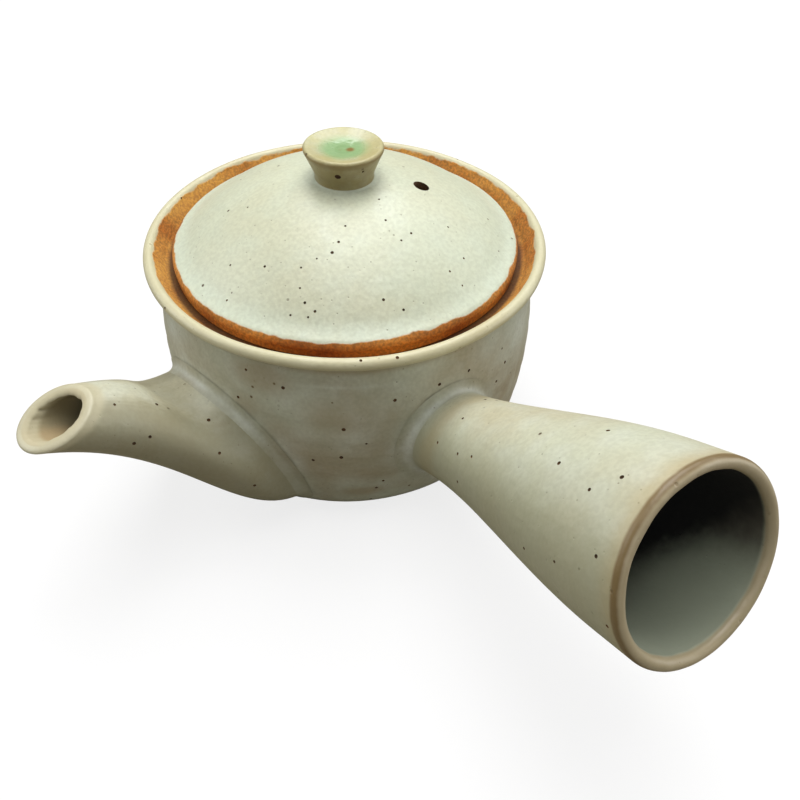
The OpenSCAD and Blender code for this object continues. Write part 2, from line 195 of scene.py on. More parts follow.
def chain(*stretches):
    """One outline from its stretches, without the points they share"""
    points = []
    for stretch in stretches:
        for point in stretch:
            if not points or (point - points[-1]).length > SAME_POINT:
                points.append(point)
    return points


# Modelling with Blender's own tools

def added(name, add, **sizes):
    """A new simple shape, picked alone"""
    bpy.ops.object.select_all(action="DESELECT")
    add(**sizes)
    bpy.context.active_object.name = name
    return bpy.context.active_object


def turned(name, outline, steps):
    """A thrown piece: its outline is drawn, then spun round the pot's axis"""
    piece = added(name, bpy.ops.mesh.primitive_plane_add, size=MM)
    bpy.ops.object.mode_set(mode="EDIT")
    bpy.ops.mesh.merge(type="CENTER")
    bpy.ops.transform.translate(value=(outline[0].x * MM, 0, outline[0].y * MM))
    for here, there in zip(outline, outline[1:]):
        step = (there - here) * MM
        bpy.ops.mesh.extrude_region_move(TRANSFORM_OT_translate={"value": (step.x, 0, step.y)})
    bpy.ops.mesh.select_all(action="SELECT")
    bpy.ops.mesh.spin(steps=steps, angle=tau, center=(0, 0, 0), axis=(0, 0, 1))
    close_up()
    return piece


def close_up():
    """Merges doubled points, turns the faces outwards and leaves edit mode"""
    bpy.ops.mesh.select_all(action="SELECT")
    bpy.ops.mesh.remove_doubles(threshold=SAME_VERT * MM)
    bpy.ops.mesh.normals_make_consistent(inside=False)
    bpy.ops.object.mode_set(mode="OBJECT")


def place_ring(piece, ring):
    """Puts the picked ring of points where a ring of the piece lies"""
    mesh = bmesh.from_edit_mesh(piece.data)
    picked = [vert for vert in mesh.verts if vert.select]
    for vert, point in zip(picked, ring):
        vert.co = point * MM
    bmesh.update_edit_mesh(piece.data)


def lofted(name, rings):
    """A hollow piece: a circle extruded from ring to ring, its last ring bridged to its first"""
    piece = added(name, bpy.ops.mesh.primitive_circle_add, vertices=len(rings[0]), radius=MM)
    bpy.ops.object.mode_set(mode="EDIT")
    place_ring(piece, rings[0])
    for ring in rings[1:]:
        bpy.ops.mesh.extrude_region_move()
        place_ring(piece, ring)
    bpy.ops.mesh.select_all(action="DESELECT")
    bpy.ops.mesh.select_non_manifold()
    bpy.ops.mesh.bridge_edge_loops()
    close_up()
    return piece


def make_active(piece):
    bpy.ops.object.select_all(action="DESELECT")
    piece.select_set(True)
    bpy.context.view_layer.objects.active = piece


def cut(piece, cutter):
    """Takes the cutter's shape out of a piece, and its material into the new faces"""
    make_active(piece)
    bpy.ops.object.modifier_add(type="BOOLEAN")
    tool = piece.modifiers[-1]
    tool.operation = "DIFFERENCE"
    tool.solver = "EXACT"
    tool.material_mode = "TRANSFER"
    tool.object = cutter
    bpy.ops.object.modifier_apply(modifier=tool.name)
    bpy.data.objects.remove(cutter)


def turns(count):
    return [tau * i / count for i in range(count)]


def paint(piece, masks):
    """Keeps each mask's value at each point, for the material to read"""
    for name, value_at in masks.items():
        layer = piece.data.attributes.new(name, "FLOAT", "POINT")
        layer.data.foreach_set("value", [value_at(vert.co / MM) for vert in piece.data.vertices])


WOBBLE = 0.35
WOBBLE_SPAN = 24
SINK_SHIFT = Vector((7.3, 1.9, 4.1))


def soften(piece):
    """Moves every point a little in and down: hand-made clay is never quite true"""
    for vert in piece.data.vertices:
        point = vert.co / MM
        out = Vector((point.x, point.y, 0))
        sway = 0.5 + 0.5 * noise.noise(point / WOBBLE_SPAN)
        sink = 0.5 + 0.5 * noise.noise(point / WOBBLE_SPAN + SINK_SHIFT)
        inward = out / max(out.length, KNOB_R) * (WOBBLE * sway)
        down = UP * (WOBBLE * sink * smooth(point.z / BELLY_Z))
        vert.co -= (inward + down) * MM


# Outlines of the thrown pieces, as distance from the axis and height

RIDGE = 0.05
RIDGE_PITCH = 6.1
FINE_SHARE = 0.6
FINE_PITCH = 2.3
FADE_LOW = 8
FADE_TOP = 4


def ridged(points):
    """The wall's outline with the soft ridges that the thrower's fingers leave"""
    def ridge(z):
        fade = smooth((z - BASE_CORNER) / FADE_LOW) * smooth((LIP_ROOT_Z - z) / FADE_TOP)
        broad = sin(tau * z / RIDGE_PITCH)
        return RIDGE * fade * (broad + FINE_SHARE * sin(tau * z / FINE_PITCH))
    return [Vector((point.x + ridge(point.y), point.y)) for point in points]


SEAT_ROUND = 0.5


def pot_outline():
    """The pot from its base up the wall, over the rim and down to its floor"""
    lip_root = Vector((wall_r(LIP_ROOT_Z), LIP_ROOT_Z))
    lip = arc(LIP_CX, LIP_CZ, LIP_R, LIP_FROM, LIP_TO, 20)
    lip_turn = Vector((lip_root.x, lip[0].y))
    wall_top = degrees(asin((LIP_ROOT_Z - BELLY_Z) / WALL_ARC))
    shoulder = degrees(asin((SHOULDER_Z - BELLY_Z) / INNER_ARC))
    corner_turn, inner_turn = degrees(CORNER_TURN), degrees(INNER_TURN)
    return chain(
        straight((0, 0), (CORNER_X, 0), 9),
        arc(CORNER_X, BASE_CORNER, BASE_CORNER, -90, corner_turn, 14),
        ridged(arc(WALL_CX, BELLY_Z, WALL_ARC, corner_turn, wall_top, 60)),
        bend_points(lip_root, lip_turn, lip_turn, lip[0], 10),
        lip,
        straight(lip[-1], (GALLERY_R + SEAT_ROUND, SEAT_Z + SEAT_ROUND), 6),
        [Vector((GALLERY_R - SEAT_ROUND, SEAT_Z))],
        straight((GALLERY_R - 2 * SEAT_ROUND, SEAT_Z), (THROAT_R + SEAT_ROUND, SEAT_Z), 4),
        straight((THROAT_R, SEAT_Z - SEAT_ROUND), (THROAT_R, THROAT_Z), 3),
        arc(WALL_CX, BELLY_Z, INNER_ARC, shoulder, inner_turn, 24),
        arc(INNER_CORNER_X, INNER_CORNER_Z, INNER_CORNER, inner_turn, -90, 12),
        straight((INNER_CORNER_X, FLOOR_T), (0, FLOOR_T), 7),
    )


GLAZE_ROLL = 0.3
BRIM_EDGE_PULL = 0.3 * BRIM_W
BRIM_FOOT_PULL = 0.24 * BRIM_W
COVE_H = 0.45
COVE_OUT = 0.4
COVE_UP = 0.1
LID_CHAMFER = 0.4


def dome_turn(r, arc_r):
    """Angle in degrees at which an arc of the dome is r away from the axis"""
    return degrees(acos(r / arc_r))


def lid_edge():
    """The rolled edge over which the lid's glaze runs down"""
    return arc(LID_R - LID_EDGE_ROUND, LID_EDGE_Z - LID_EDGE_ROUND, LID_EDGE_ROUND, -10, LID_EDGE_TURN, 12)


def dome_points(steps):
    """The lid's upper face, from its edge up to the knob's shelf"""
    drop = BRIM_FOOT_PULL * DOME_FOOT_R / DOME_DROP
    climb = BRIM_EDGE_PULL * tan(radians(90 - LID_EDGE_TURN))
    edge = lid_edge()[-1]
    brim = bend_points(
        edge,
        (edge.x - BRIM_EDGE_PULL, edge.y + climb),
        (DOME_FOOT_R + BRIM_FOOT_PULL, DOME_FOOT_Z - drop),
        (DOME_FOOT_R, DOME_FOOT_Z),
        steps // 4,
    )
    start, end = dome_turn(DOME_FOOT_R, DOME_ARC), dome_turn(CROWN_FLAT_R, DOME_ARC)
    return chain(brim, arc(0, DOME_CZ, DOME_ARC, start, end, steps))


def lid_outline():
    """The lid with a bare edge, a rolled end to its glaze and a cove of it round the knob's foot"""
    bare_r = LID_R - GLAZE_ROLL
    cove_top = CROWN_Z + COVE_H
    cove = bend_points(
        (CROWN_FLAT_R, CROWN_Z), (KNOB_FOOT_R + COVE_OUT, CROWN_Z),
        (KNOB_FOOT_R + COVE_UP, CROWN_Z + COVE_UP), (KNOB_FOOT_R, cove_top), 8,
    )
    vault = arc(0, DOME_CZ, DOME_ARC - LID_T, 90, dome_turn(FLANGE_IN, DOME_ARC - LID_T), 20)
    return chain(
        vault,
        straight(vault[-1], (FLANGE_IN, SEAT_Z - FLANGE_H), 4),
        straight((FLANGE_IN, SEAT_Z - FLANGE_H), (FLANGE_OUT, SEAT_Z - FLANGE_H), 3),
        straight((FLANGE_OUT, SEAT_Z - FLANGE_H), (FLANGE_OUT, SEAT_Z), 4),
        straight((FLANGE_OUT, SEAT_Z), (bare_r - LID_CHAMFER, SEAT_Z), 3),
        straight((bare_r, SEAT_Z + LID_CHAMFER), (bare_r, LID_EDGE_Z - 1.3 * LID_EDGE_ROUND), 3),
        lid_edge(),
        dome_points(56),
        cove,
        straight((KNOB_FOOT_R - GLAZE_ROLL, cove_top), (0, cove_top), 4),
    )


def knob_outline():
    """The knob from its foot up a drawn-in waist and over into its dish"""
    edge_x = KNOB_R - KNOB_EDGE
    edge_z = KNOB_TOP_Z - KNOB_EDGE
    dish_r = (edge_x ** 2 + KNOB_DISH ** 2) / (2 * KNOB_DISH)
    dish_half = degrees(asin(edge_x / dish_r))
    flare = degrees(atan2(KNOB_R - KNOB_FOOT_R, KNOB_H))
    edge = arc(edge_x, edge_z, KNOB_EDGE, -flare, 90, 10)
    foot = (KNOB_FOOT_R, CROWN_Z)
    waist = (KNOB_FOOT_R - KNOB_WAIST_IN, CROWN_Z + KNOB_WAIST_H)
    return chain(
        straight((0, CROWN_Z), foot, 4),
        bend_points(foot, waist, waist, edge[0], 16),
        edge,
        arc(0, KNOB_TOP_Z - KNOB_DISH + dish_r, dish_r, dish_half - 90, -90, 14),
    )


# Spout, handle and the coils smoothed round their roots

def ring_on_wall(turn, w, top, mid, low, grow=SLIP):
    """A point of a ring that lies on the wall, round the direction of the spout"""
    rise = sin(turn)
    z = mid + rise * (top - mid if rise > 0 else mid - low)
    r = wall_r(z, grow)
    swing = w / 2 * cos(turn) / r
    return SPOUT_OUT * (r * cos(swing)) + SPOUT_SIDE * (r * sin(swing)) + UP * z


def oval(turn, r, z, aside, w, up, down, lean, grow=0.0, rise=0.0):
    """A point of an oval ring across the spout, moved out by grow and forward by rise"""
    lean = radians(lean)
    height = sin(turn) * ((up if sin(turn) > 0 else down) + grow)
    reach = r + rise * cos(lean) - height * sin(lean)
    across = (w / 2 + grow) * cos(turn) - aside
    level = z + rise * sin(lean) + height * cos(lean)
    return SPOUT_OUT * reach + SPOUT_SIDE * across + UP * level


def spout_skin(turn, t, sink=0.0):
    """A point of the spout's outside, a share t of the way from its root to its mouth"""
    return bend(ring_on_wall(turn, **ROOT, grow=SLIP - sink), oval(turn, **SKIRT), oval(turn, **THROAT),
                oval(turn, **MOUTH), t)


def spout_passage(turn, t):
    """A point of the spout's inside, from the port to the mouth"""
    root_half = PORT_R + PORT_MARGIN
    skirt = dict(SKIRT, w=2 * root_half, up=root_half - SPOUT_WALL, down=root_half - SPOUT_WALL)
    root = ring_on_wall(turn, 2 * root_half, PORT_Z + root_half, PORT_Z, PORT_Z - root_half)
    return bend(root, oval(turn, **skirt), oval(turn, **THROAT, grow=-SPOUT_WALL),
                oval(turn, **MOUTH, grow=-SPOUT_WALL), t)


def spout_lip(turn, round_turn):
    """A point of the soft lip between the spout's skin and its passage"""
    inset = SPOUT_WALL / 2 * (1 - cos(round_turn))
    return oval(turn, **MOUTH, grow=-inset, rise=SPOUT_WALL / 4 * sin(round_turn))


SPOUT_ROUND = 112
SPOUT_STEPS = 64
LIP_STEPS = 8
TUCK = 1.5
SPOUT_ROUGH = 0.35
HANDLE_ROUGH = 0.2
SPOUT_ROUGH_RINGS = 3
HANDLE_ROUGH_RINGS = 4


def roughened(ring, amount):
    """A ring with its points moved unevenly out or in, by about an amount"""
    middle = sum(ring, Vector()) / len(ring)
    moved = []
    for point in ring:
        out = (point - middle).normalized()
        stray = noise.noise(out * 3.5 + UP) + 0.5 * noise.noise(out * 8)
        moved.append(point + out * (amount * stray))
    return moved


def make_spout():
    round_turns = turns(SPOUT_ROUND)
    rings = [[spout_skin(turn, 0, TUCK) for turn in round_turns]]
    rings += [[spout_skin(turn, i / SPOUT_STEPS) for turn in round_turns] for i in range(SPOUT_STEPS + 1)]
    for i in range(1, LIP_STEPS):
        lip = [spout_lip(turn, pi * i / LIP_STEPS) for turn in round_turns]
        rings.append(roughened(lip, SPOUT_ROUGH * (i / LIP_STEPS) ** 2))
    for i in range(SPOUT_STEPS + 1):
        passage = [spout_passage(turn, 1 - i / SPOUT_STEPS) for turn in round_turns]
        rings.append(roughened(passage, SPOUT_ROUGH * max(0, 1 - i / SPOUT_ROUGH_RINGS)))
    return lofted("spout_glazed", rings)


def handle_r(along):
    """Radius of the handle at a distance along its axis"""
    x = max(0, (along - HANDLE_START) / HANDLE_L)
    swell = SWELL_SHARE * smooth(x / SWELL_END) + (1 - SWELL_SHARE) * x
    return HANDLE_ROOT_R + (HANDLE_END_R - HANDLE_ROOT_R) * swell


HANDLE_BOW = 0.55
HALVINGS = 24


def handle_bow(along):
    """How far the handle's middle line is lifted, most at mid-length"""
    x = min(max(0, (along - HANDLE_START) / HANDLE_L), 1)
    return HANDLE_BOW * sin(pi * x)


def handle_axis(along):
    return UP * HANDLE_AIM_Z + HANDLE_OUT * along


def handle_spoke(turn):
    return HANDLE_ACROSS * cos(turn) + HANDLE_UP * sin(turn)


def handle_point(along, r, turn):
    """A point of the handle, whose underside is drawn in a little at mid-length"""
    bow = handle_bow(along)
    return handle_axis(along) + HANDLE_UP * bow + handle_spoke(turn) * (r - bow)


def wall_distance(r, turn):
    """Distance along the handle's axis at which the line r away from it leaves the wall"""
    near, far = HANDLE_START - 2 * HANDLE_ROOT_R, HANDLE_START + 2 * HANDLE_ROOT_R
    for _ in range(HALVINGS):
        along = (near + far) / 2
        point = handle_axis(along) + handle_spoke(turn) * r
        if Vector((point.x, point.y)).length > wall_r(point.z, SLIP):
            far = along
        else:
            near = along
    return near


HANDLE_ROUND = 128
HANDLE_STEPS = 84


def make_handle():
    round_turns = turns(HANDLE_ROUND)
    lip_r = HANDLE_WALL / 2
    last = HANDLE_END - lip_r
    roots = [wall_distance(HANDLE_ROOT_R, turn) - TUCK for turn in round_turns]

    def ring(share, inset):
        points = []
        for root, turn in zip(roots, round_turns):
            along = root + (last - root) * share
            points.append(handle_point(along, handle_r(along) - inset, turn))
        return points

    rings = [ring(i / HANDLE_STEPS, 0) for i in range(HANDLE_STEPS + 1)]
    for i in range(1, 2 * LIP_STEPS):
        a = pi * i / (2 * LIP_STEPS)
        r = handle_r(last) - lip_r + lip_r * cos(a)
        lip = [handle_point(last + lip_r * sin(a), r, turn) for turn in round_turns]
        rings.append(roughened(lip, HANDLE_ROUGH * i / (2 * LIP_STEPS)))
    for i in range(HANDLE_STEPS + 1):
        bore = ring(1 - i / HANDLE_STEPS, HANDLE_WALL)
        rings.append(roughened(bore, HANDLE_ROUGH * max(0, 1 - i / HANDLE_ROUGH_RINGS)))
    return lofted("handle_glazed", rings)


COIL_ROUND = 144
COIL_STEPS = 14
HANDLE_COIL_W = 3.4
SPOUT_COIL_W = 3.0
FEATHER = 0.15
CREASE_PULL = 0.8


def make_coil(name, *ends):
    """A coil smoothed from the wall to a skin, hollow in the crease and tucked in behind"""
    corners, wall_ends, skin_ends, inner = ([end(turn) for turn in turns(COIL_ROUND)] for end in ends)
    # The feather edge is drawn in a little, to dip under the skin it lies on
    middle = sum(skin_ends, Vector()) / COIL_ROUND
    skin_ends = [point + (middle - point).normalized() * FEATHER for point in skin_ends]
    rings = []
    for i in range(COIL_STEPS + 1):
        ring = []
        for corner, wall_end, skin_end in zip(corners, wall_ends, skin_ends):
            low, high = wall_end.lerp(corner, CREASE_PULL), skin_end.lerp(corner, CREASE_PULL)
            ring.append(bend(wall_end, low, high, skin_end, i / COIL_STEPS))
        rings.append(ring)
    return lofted(name, rings + [inner])


def handle_crease(turn, grow=0.0):
    """A point where the handle's root, grown a little, meets the wall"""
    return handle_point(wall_distance(HANDLE_ROOT_R + grow, turn), HANDLE_ROOT_R + grow, turn)


def make_handle_coil():
    def wall_end(turn):
        return handle_crease(turn, HANDLE_COIL_W)

    def skin_end(turn):
        along = wall_distance(HANDLE_ROOT_R, turn) + HANDLE_COIL_W
        return handle_point(along, handle_r(along), turn)

    def inner(turn):
        return handle_point(wall_distance(HANDLE_ROOT_R, turn) - TUCK, HANDLE_ROOT_R - TUCK, turn)
    return make_coil("handle_coil_smoothed", handle_crease, wall_end, skin_end, inner)


def make_spout_coil():
    w = SPOUT_COIL_W
    share = w / (3 * (SKIRT["r"] - BELLY_R))
    wide = {"w": ROOT["w"] + 2 * w, "top": ROOT["top"] + w, "mid": ROOT["mid"], "low": ROOT["low"] - w / 3}
    return make_coil(
        "spout_coil_smoothed",
        lambda turn: spout_skin(turn, 0), lambda turn: ring_on_wall(turn, **wide),
        lambda turn: spout_skin(turn, share), lambda turn: spout_skin(turn, 0, TUCK),
    )


# Masks that the materials read

HANDLE_POOL_W = 1.5
SPOUT_POOL_W = 1.0
THIN_AWAY = 7
THIN_W = 4
HANDLE_SEAM_THIN = 0.35

crease_tree = kdtree.KDTree(2 * COIL_ROUND)
for i, turn in enumerate(turns(COIL_ROUND)):
    crease_tree.insert(handle_crease(turn), 2 * i)
    crease_tree.insert(spout_skin(turn, 0), 2 * i + 1)
crease_tree.balance()


def hump(distance, half):
    """A soft bump of height 1, down to about a third at its half width"""
    return exp(-(distance / half) ** 2)


def pooled_by_crease(point):
    """How thickly the glaze has run together near a crease"""
    near, place, away = crease_tree.find(point)
    if place % 2 == 0:
        return hump(away, HANDLE_POOL_W)
    upper = smooth((near.z - 0.4 * ROOT["top"]) / (0.5 * ROOT["top"]))
    return (0.2 + 0.8 * upper) * hump(away, SPOUT_POOL_W)


def by_crease(point):
    """The band just beyond a crease, where the glaze is thin"""
    return hump(crease_tree.find(point)[2] - THIN_AWAY, THIN_W)


def spout_seam_thin(point):
    """The lower part of the coil round the spout's root has kept little glaze"""
    return 0.9 - 0.5 * smooth((point.z - 0.5 * ROOT["top"]) / (0.4 * ROOT["top"]))


def margin(distance):
    """A mask that is half way at a glaze margin, over one millimetre each way"""
    return min(max(0.5 + distance / 2, 0.0), 1.0)


def reach_of(point):
    """Distance of a point from the pot's axis"""
    return hypot(point.x, point.y)


def uneven(point):
    """How far a hand-wiped glaze margin strays"""
    way = Vector((point.x, point.y, 0)).normalized()
    broad, fine = noise.noise(way * 2.3), noise.noise(way * 9.0)
    return 0.35 * broad + 0.3 * fine


def gallery_r(z):
    """Distance from the axis to the gallery's sloping side at a height"""
    foot = Vector((GALLERY_R + SEAT_ROUND, SEAT_Z + SEAT_ROUND))
    end = radians(LIP_TO)
    rise = Vector((LIP_CX, LIP_CZ)) + LIP_R * Vector((cos(end), sin(end))) - foot
    return foot.x + max(0, z - foot.y) / rise.y * rise.x


SLOPE_SKIN = 0.15
SHARPER = 8
FOOT_BARE = 0.4
THROAT_BARE = 1


def pot_bare(point):
    """Bare clay on the lid's seat and under the foot"""
    r = reach_of(point)
    inner_side = (gallery_r(point.z) + SLOPE_SKIN if point.z < LIP_CZ else LIP_CX) - r
    within_lip = LIP_CX - 0.9 * LIP_R - r + uneven(point)
    seat = min(within_lip, point.z - THROAT_Z + THROAT_BARE, SHARPER * inner_side)
    return margin(max(seat, FOOT_BARE - point.z))


# Marks on the wall: direction, height, half width, half height and strength
# The runs at 180 and 301 degrees, high on the body's left and right, are partly pale glaze and partly
# painted highlight
PALE_RUNS_AND_HIGHLIGHTS = (
    (223, 23.5, 4, 7, 0.75), (243.5, 34, 4.5, 5, 0.6), (180, 43, 8, 6, 1.0), (229, 44, 5, 5, 0.4),
    (254, 26, 3.5, 10, 0.45), (301, 43, 9, 7, 1.0), (284, 45, 6, 5, 0.5), (320, 26, 5, 12, 0.55),
    (20, 32, 6, 11, 0.55), (75, 24, 4, 9, 0.55), (128, 36, 6, 9, 0.55), (236, 47, 15, 0.6, 0.6),
)
THIN_MARKS = (
    (244, 11, 8, 2.4, 0.9), (236, 39, 9, 6, 0.8), (248, 19, 9, 5, 0.7), (212, 38, 5, 5, 0.7),
    (262, 38, 6, 6, 0.7), (216, 47, 9, 5, 1.0), (330, 28, 8, 9, 0.8), (50, 22, 9, 7, 0.8),
    (104, 33, 8, 8, 0.8),
)
# The collar under the rim's roll is partly thin glaze and partly painted shade
COLLAR_THIN_AND_SHADE = 0.9
COLLAR_W = 1.3
COLLAR_Z = LIP_CZ - 2.6 * LIP_R


def on_outer_wall(point):
    """Whether a point lies on the outer half of the pot's wall"""
    return reach_of(point) > wall_r(point.z) - WALL / 2


def marked(point, marks):
    """The strongest of some soft marks on the pot's outer wall"""
    if not on_outer_wall(point):
        return 0.0
    az = degrees(atan2(point.y, point.x))
    best = 0.0
    for mark_az, mark_z, half_w, half_h, strength in marks:
        aside = radians((az - mark_az + 180) % 360 - 180) * BELLY_R
        best = max(best, strength * hump(aside, half_w) * hump(point.z - mark_z, half_h))
    return best


def pot_pooled_and_highlit(point):
    """Where the glaze has run together, by the creases and down the wall, with painted highlight in two of
    the runs
    """
    return max(pooled_by_crease(point), marked(point, PALE_RUNS_AND_HIGHLIGHTS))


def pot_thin(point):
    """Where the glaze is thin on the wall and the clay shows through, with a collar under the rim's roll
    that is partly thin glaze and partly painted shade
    """
    collar = COLLAR_THIN_AND_SHADE * hump(point.z - COLLAR_Z, COLLAR_W) if on_outer_wall(point) else 0.0
    return max(marked(point, THIN_MARKS), collar, 0.45 * by_crease(point))


def pot_seat_shadow(point):
    """Painted shadow on the seat, where the gap under the lid's edge lies in shade"""
    within_slope = smooth((GALLERY_R + 0.6 - reach_of(point)) / 0.6)
    below_slope = smooth((SEAT_Z + 1.6 - point.z) / 1.2)
    above_throat = smooth((point.z - THROAT_Z + THROAT_BARE) / 0.5)
    return within_slope * below_slope * above_throat


def pot_lip(point):
    return smooth((point.z - LIP_CZ) / (2 * LIP_R) + 1)


dome = dome_points(200)[::-1]


def dome_z(r):
    """Height of the lid's upper face at a distance from its centre"""
    i = min(bisect.bisect_left(dome, r, key=lambda point: point.x), len(dome) - 1)
    return dome[i].y


LID_SKIN = 1.5
LID_GLAZE_END = 0.65
BRIM_POOL_IN = 2.2
BRIM_POOL_W = 3.0
FOOT_POOL_W = 2.6


def lid_bare(point):
    """Bare clay under the lid and up its edge to an uneven line"""
    r = reach_of(point)
    if r < LID_R - LID_EDGE_ROUND - 1:
        return margin(dome_z(r) - LID_SKIN - point.z)
    return margin(LID_EDGE_Z - LID_GLAZE_END + uneven(point) - point.z)


def lid_pooled(point):
    """Where the glaze has run together, on the brim and round the knob's foot"""
    r = reach_of(point)
    brim = hump(LID_R - BRIM_POOL_IN - r, BRIM_POOL_W)
    foot = hump(max(0, r - KNOB_FOOT_R), FOOT_POOL_W)
    return max(brim, foot)


def along_handle(point):
    return (point - UP * HANDLE_AIM_Z).dot(HANDLE_OUT)


def off_handle(point):
    """The way to a point from the handle's straight axis, square to it"""
    return point - handle_axis(along_handle(point))


def handle_steep(point):
    """How far up a point lies round the handle: 1 on top, 0 at the sides and -1 below"""
    return off_handle(point).normalized().dot(HANDLE_UP)


LIP_FADE = 1.2
LIP_HOLLOW = 0.9
LIP_BAND = 2.2
EDGE_LINE_W = 0.95
BLUSH_W = 8
DARK_FROM = 5
DARK_OVER = 20


def handle_inside(point):
    """The handle's hollow, from a little way behind its lip"""
    along = along_handle(point)
    bow = handle_bow(along)
    middle = handle_axis(along) + HANDLE_UP * bow
    in_bore = (point - middle).length < handle_r(along) - bow - HANDLE_WALL / 2
    return smooth((HANDLE_END - LIP_HOLLOW - along) / LIP_FADE) if in_bore else 0.0


def handle_lip(point):
    return smooth((along_handle(point) - HANDLE_END + LIP_BAND) / LIP_FADE)


def handle_edge(point):
    """The outer edge of the handle's lip, where the glaze has run thin"""
    end = HANDLE_END - HANDLE_WALL / 2
    corner = Vector((end + 0.3, handle_r(end) - 0.1))
    place = Vector((along_handle(point), off_handle(point).length))
    return hump((place - corner).length, EDGE_LINE_W)


def handle_thin(point):
    """Where the clay blushes through, near the handle's lip and just beyond its root"""
    near_end = smooth((along_handle(point) - HANDLE_END) / BLUSH_W + 1)
    return (1 - handle_inside(point)) * max(0.8 * near_end, 0.6 * by_crease(point))


def handle_flank(point):
    """Painted shade on the handle's sides and underside, which come out greyer than its top"""
    return (1 - handle_inside(point)) * smooth(1.2 - handle_steep(point))


def handle_upper_shade(point):
    """Painted shade on the upper part of the handle's hollow"""
    return handle_inside(point) * smooth((handle_steep(point) + 0.85) / 0.9)


def handle_depth_shade(point):
    """How far in and how high a point lies in the handle's hollow, for painted shade there"""
    depth = HANDLE_END - DARK_FROM - along_handle(point)
    return handle_inside(point) * smooth(depth / DARK_OVER + 0.9 * (handle_steep(point) + 0.5))


MOUTH_OUT = SPOUT_OUT * cos(radians(MOUTH["lean"])) + UP * sin(radians(MOUTH["lean"]))
MOUTH_MID = SPOUT_OUT * MOUTH["r"] - SPOUT_SIDE * MOUTH["aside"] + UP * MOUTH["z"]

PASSAGE_STEPS = 72
PASSAGE_TURNS = 48

spout_tree = kdtree.KDTree(PASSAGE_STEPS * PASSAGE_TURNS)
for step in range(PASSAGE_STEPS):
    for i, turn in enumerate(turns(PASSAGE_TURNS)):
        spout_tree.insert(spout_passage(turn, 1 - step / PASSAGE_STEPS), PASSAGE_TURNS * step + i)
spout_tree.balance()


def spout_inside(point):
    """Nearness to the spout's passage, rather than to its outside"""
    return smooth((0.75 - spout_tree.find(point)[2] / SPOUT_WALL) / 0.4)


def spout_depth_shade(point):
    """Painted shade in the passage behind the spout's mouth"""
    share = spout_tree.find(point)[1] // PASSAGE_TURNS / PASSAGE_STEPS
    return spout_inside(point) * smooth((share - 0.04) / 0.20)


def spout_thin(point):
    """Where the glaze is thin beyond the spout's crease, and painted shade on its sides"""
    turn = turns(PASSAGE_TURNS)[spout_tree.find(point)[1] % PASSAGE_TURNS]
    return max(0.6 * by_crease(point), smooth((abs(cos(turn)) - 0.1) / 0.8))


EDGE_BAND = 3.0
TUBE_R = BELLY_R + 12


def spout_edge(point):
    """The band round the spout's mouth"""
    if reach_of(point) < TUBE_R:
        return 0.0
    return smooth((point - MOUTH_MID).dot(MOUTH_OUT) / EDGE_BAND + 1)


POOL_R = 0.88 * KNOB_R
POOL_FADE = 6.0
IRON_SPOT = Vector((1.3, -0.8, 0))
FAINT_SPOT = Vector((-0.7, 0.2, 0))


def over_dish(point):
    """Whether a point lies on top of the knob and not on its side"""
    return smooth((point.z - KNOB_TOP_Z + KNOB_DISH + 0.4) / 0.3)


def knob_pool(point):
    """The glassy pool that lies in the knob's dish"""
    return over_dish(point) * smooth((POOL_R - reach_of(point)) / POOL_FADE)


def knob_iron(point):
    """The brown spot near the middle of the pool, with a fainter one beside it"""
    spot = hump(reach_of(point - IRON_SPOT), 1.3)
    faint = hump(reach_of(point - FAINT_SPOT), 1.4)
    return over_dish(point) * max(spot, 0.45 * faint)


def knob_edge(point):
    """The knob's side, where the glaze has run thin, most of all along its upper edge"""
    if reach_of(point) < KNOB_R - KNOB_EDGE and point.z > KNOB_TOP_Z - 1.5 * KNOB_EDGE:
        return 0.0
    below = KNOB_TOP_Z - 1.1 * KNOB_EDGE - point.z
    return max(hump(below, 0.7), 0.7 * smooth(below / 1.2))


# Materials: shared groups first, then one material for each finish

COLOUR, VALUE = "NodeSocketColor", "NodeSocketFloat"
SURFACE = {"Colour": COLOUR, "Roughness": VALUE, "Height": VALUE}
WHITE = (1, 1, 1, 1)


def tint(code):
    """The linear colour of a six-figure colour code"""
    parts = [int(code[i:i + 2], 16) / 255 for i in (0, 2, 4)]
    return tuple(p / 12.92 if p < 0.04045 else ((p + 0.055) / 1.055) ** 2.4 for p in parts) + (1.0,)


def put(tree, kind, inputs=None, **settings):
    """Adds a shader node of a kind; each input is a value, or a socket to link from"""
    node = tree.nodes.new("ShaderNode" + kind)
    for name, value in settings.items():
        setattr(node, name, value)
    for name, value in (inputs or {}).items():
        if isinstance(value, bpy.types.NodeSocket):
            tree.links.new(value, node.inputs[name])
        else:
            node.inputs[name].default_value = value
    return node


def cloud(tree, scale, detail):
    """Cloudy noise that stays with the piece"""
    coords = put(tree, "TexCoord").outputs["Object"]
    node = put(tree, "TexNoise", {"Vector": coords, "Scale": scale, "Detail": detail})
    return node.outputs["Fac"]


def span(tree, value, low, high, start=0.0, end=1.0):
    """A value brought softly from one range to another"""
    node = put(tree, "MapRange", {
        "Value": value, "From Min": low, "From Max": high, "To Min": start, "To Max": end,
    }, interpolation_type="SMOOTHSTEP")
    return node.outputs["Result"]


def spots(tree, scale, detail, low, high):
    """Soft cloudy patches between 0 and 1"""
    return span(tree, cloud(tree, scale, detail), low, high)


